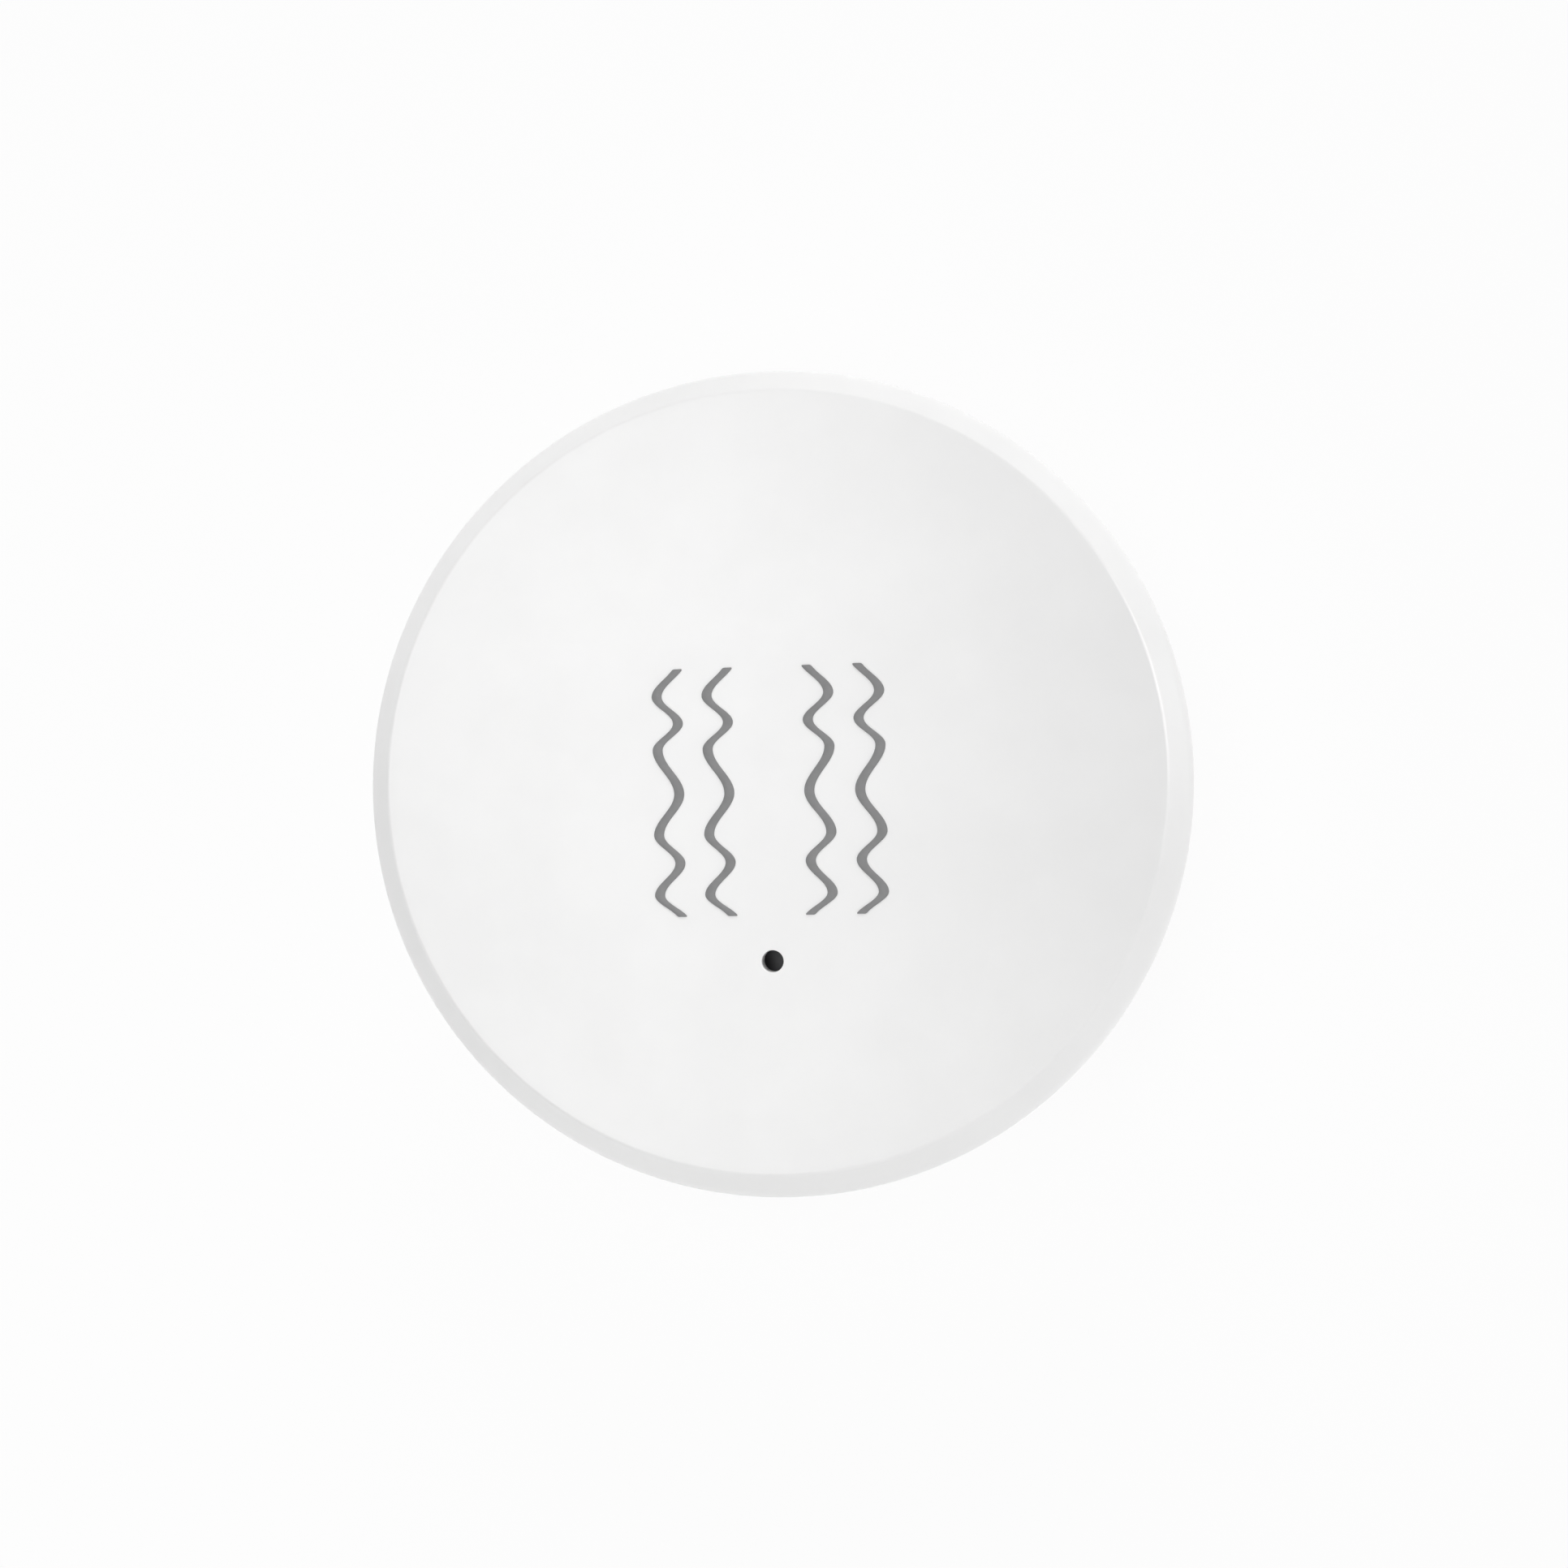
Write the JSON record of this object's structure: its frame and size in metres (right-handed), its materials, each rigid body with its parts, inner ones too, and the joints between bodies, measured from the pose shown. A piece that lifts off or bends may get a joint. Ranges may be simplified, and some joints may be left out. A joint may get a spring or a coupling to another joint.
{
  "type": "vibration sensor tag",
  "caption": "Round white battery-powered vibration sensor puck with a dished face, printed wavy marks and a reset pin hole, twisted onto a plate that sticks to a wall or door.",
  "frame": {"origin": "centre of the adhesive pad's outer face, where the part meets the wall", "axes": "+Z out of the wall through the face, +Y up on the face (the pin hole is towards -Y), +X to its right"},
  "size_m": [0.046, 0.046, 0.0134],
  "materials": {
    "shell_plastic": "fine satin moulded ABS, white",
    "plate_plastic": "matt moulded ABS, white",
    "print_ink": "flat grey pad-printed ink",
    "foam_tape": "closed-cell adhesive foam",
    "board_laminate": "green solder mask on glass laminate",
    "module_laminate": "dark green solder mask on glass laminate",
    "screw_steel": "zinc-plated steel",
    "holder_plastic": "black glass-filled nylon",
    "contact_steel": "nickel-plated spring steel",
    "contact_brass": "plain spring bronze",
    "cell_steel": "brushed nickel-plated can",
    "seal_polymer": "dark polypropylene",
    "switch_plastic": "black heat-resistant nylon",
    "solder_tin": "dull tinned metal",
    "copper_track": "gold-washed copper",
    "chip_epoxy": "black moulding epoxy",
    "lamp_ceramic": "pale laminate",
    "lamp_resin": "clear tinted epoxy",
    "tantalum_epoxy": "ochre moulding epoxy",
    "capacitor_ceramic": "tan fired ceramic"
  },
  "bodies": {
    "wall_plate": {"adhesive_pad": "foam_tape", "base_plate": "plate_plastic"},
    "sensor": {"front_shell": "shell_plastic", "wave_marks": "print_ink", "main_board": "board_laminate", "board_screws": "screw_steel", "battery_holder": "holder_plastic", "battery_clip": "contact_steel", "negative_contact": "contact_brass", "coin_cell_can": "cell_steel", "coin_cell_seal": "seal_polymer", "coin_cell_cap": "cell_steel", "reset_switch_housing": "switch_plastic", "reset_switch_terminals": "solder_tin", "reset_switch_dome": "contact_brass", "reset_switch_cover": "contact_steel", "radio_module": "module_laminate", "radio_shield": "contact_steel", "radio_antenna": "copper_track", "radio_solder_joints": "solder_tin", "motion_sensor_chip": "chip_epoxy", "clock_crystal": "contact_steel", "voltage_regulator": "chip_epoxy", "regulator_leads": "solder_tin", "status_lamp_base": "lamp_ceramic", "status_lamp_lens": "lamp_resin", "storage_capacitor": "tantalum_epoxy", "storage_capacitor_tabs": "solder_tin", "chip_capacitors": "capacitor_ceramic", "chip_resistors": "chip_epoxy", "chip_ends": "solder_tin", "test_pads": "copper_track"},
    "reset_stem": {"reset_switch_stem": "switch_plastic"}
  },
  "joints": [
    {"name": "twist_lock", "type": "hinge", "parent": "wall_plate", "child": "sensor", "pos_m": [0, 0, 0.0028], "axis": [0, 0, 1], "range_deg": [0, 20]},
    {"name": "reset_press", "type": "slide", "parent": "sensor", "child": "reset_stem", "axis": [0, 0, -1], "range_m": [0, 0.00025], "stiffness_N_per_m": 4000, "deforming": ["reset_switch_dome"]}
  ]
}
